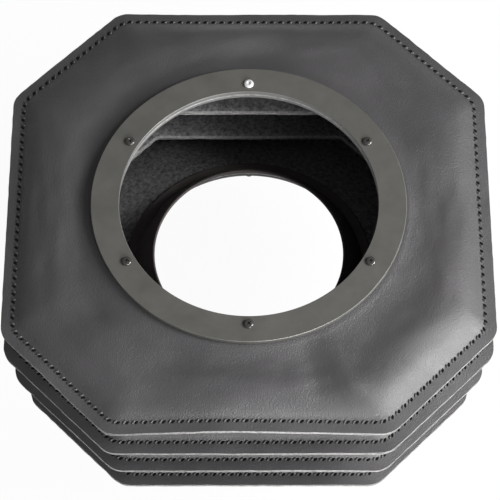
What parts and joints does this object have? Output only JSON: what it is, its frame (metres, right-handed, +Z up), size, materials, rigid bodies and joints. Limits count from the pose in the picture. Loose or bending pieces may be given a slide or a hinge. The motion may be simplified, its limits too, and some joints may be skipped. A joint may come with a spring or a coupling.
{
  "type": "leather bellows with flange ring",
  "caption": "Octagonal leather accordion bellows: sewn pleats between a screwed metal flange ring and a dished bottom collar, open right through.",
  "frame": {"origin": "on the bellows axis, on the surface that the lowest lip stands on", "axes": "+Z up the bellows axis to the flange ring; +Y towards the bright socket screw, square to a long flat side of the octagon; +X to the right seen with +Y away"},
  "size_m": [0.294, 0.294, 0.116],
  "materials": {
    "leather": "fine grain, soft sheen",
    "suede": "matte flesh side",
    "thread": "waxed thread",
    "ring_metal": "satin dark olive grey",
    "bright_steel": "bright zinc",
    "dark_steel": "blackened, shiny",
    "collar_black": "smooth matte brownish black"
  },
  "bodies": {
    "top_flange": {"flange_ring": "ring_metal", "backing_ring": "ring_metal", "flange_screw_1": "bright_steel", "flange_screw_2": "dark_steel", "flange_screw_3": "dark_steel", "flange_screw_4": "dark_steel", "flange_screw_5": "dark_steel", "flange_screw_6": "dark_steel"},
    "lip_1": {"outer_seam_1": "leather", "outer_thread_1": "thread", "panel_1": "leather"},
    "fold_1": {"inner_seam_1": "suede", "inner_thread_1": "thread", "panel_2": "suede"},
    "lip_2": {"outer_seam_2": "leather", "outer_thread_2": "thread", "panel_3": "leather"},
    "fold_2": {"inner_seam_2": "suede", "inner_thread_2": "thread", "panel_4": "suede"},
    "lip_3": {"outer_seam_3": "leather", "outer_thread_3": "thread", "panel_5": "leather"},
    "fold_3": {"inner_seam_3": "suede", "inner_thread_3": "thread", "panel_6": "suede"},
    "lip_4": {"outer_seam_4": "leather", "outer_thread_4": "thread", "panel_7": "leather"},
    "bottom_end": {"bottom_collar": "collar_black", "clamp_ring": "ring_metal", "base_screw_1": "dark_steel", "base_screw_2": "dark_steel", "base_screw_3": "dark_steel", "base_screw_4": "dark_steel", "base_screw_5": "dark_steel", "base_screw_6": "dark_steel", "panel_8": "suede"}
  },
  "joints": [
    {"name": "lip_1_slide", "type": "slide", "parent": "top_flange", "child": "lip_1", "axis": [0, 0, -1], "range_m": [-0.008, 0], "deforming": ["panel_1"]},
    {"name": "fold_1_slide", "type": "slide", "parent": "lip_1", "child": "fold_1", "axis": [0, 0, -1], "range_m": [0, 0.03], "deforming": ["panel_2"]},
    {"name": "lip_2_slide", "type": "slide", "parent": "fold_1", "child": "lip_2", "axis": [0, 0, -1], "range_m": [-0.02, 0], "deforming": ["panel_3"]},
    {"name": "fold_2_slide", "type": "slide", "parent": "lip_2", "child": "fold_2", "axis": [0, 0, -1], "range_m": [0, 0.03], "deforming": ["panel_4"]},
    {"name": "lip_3_slide", "type": "slide", "parent": "fold_2", "child": "lip_3", "axis": [0, 0, -1], "range_m": [-0.025, 0], "deforming": ["panel_5"]},
    {"name": "fold_3_slide", "type": "slide", "parent": "lip_3", "child": "fold_3", "axis": [0, 0, -1], "range_m": [0, 0.03], "deforming": ["panel_6"]},
    {"name": "lip_4_slide", "type": "slide", "parent": "fold_3", "child": "lip_4", "axis": [0, 0, -1], "range_m": [-0.032, 0], "deforming": ["panel_7"]},
    {"name": "bottom_end_slide", "type": "slide", "parent": "lip_4", "child": "bottom_end", "axis": [0, 0, -1], "range_m": [0, 0.025], "deforming": ["panel_8"]}
  ],
  "couplings": [
    {"joint": "lip_1_slide", "follows": "lip_4_slide", "ratio": 0.25},
    {"joint": "lip_2_slide", "follows": "lip_4_slide", "ratio": 0.625},
    {"joint": "lip_3_slide", "follows": "lip_4_slide", "ratio": 0.78125},
    {"joint": "bottom_end_slide", "follows": "lip_4_slide", "ratio": -0.78125},
    {"joint": "fold_2_slide", "follows": "fold_1_slide", "ratio": 1},
    {"joint": "fold_3_slide", "follows": "fold_1_slide", "ratio": 1}
  ]
}
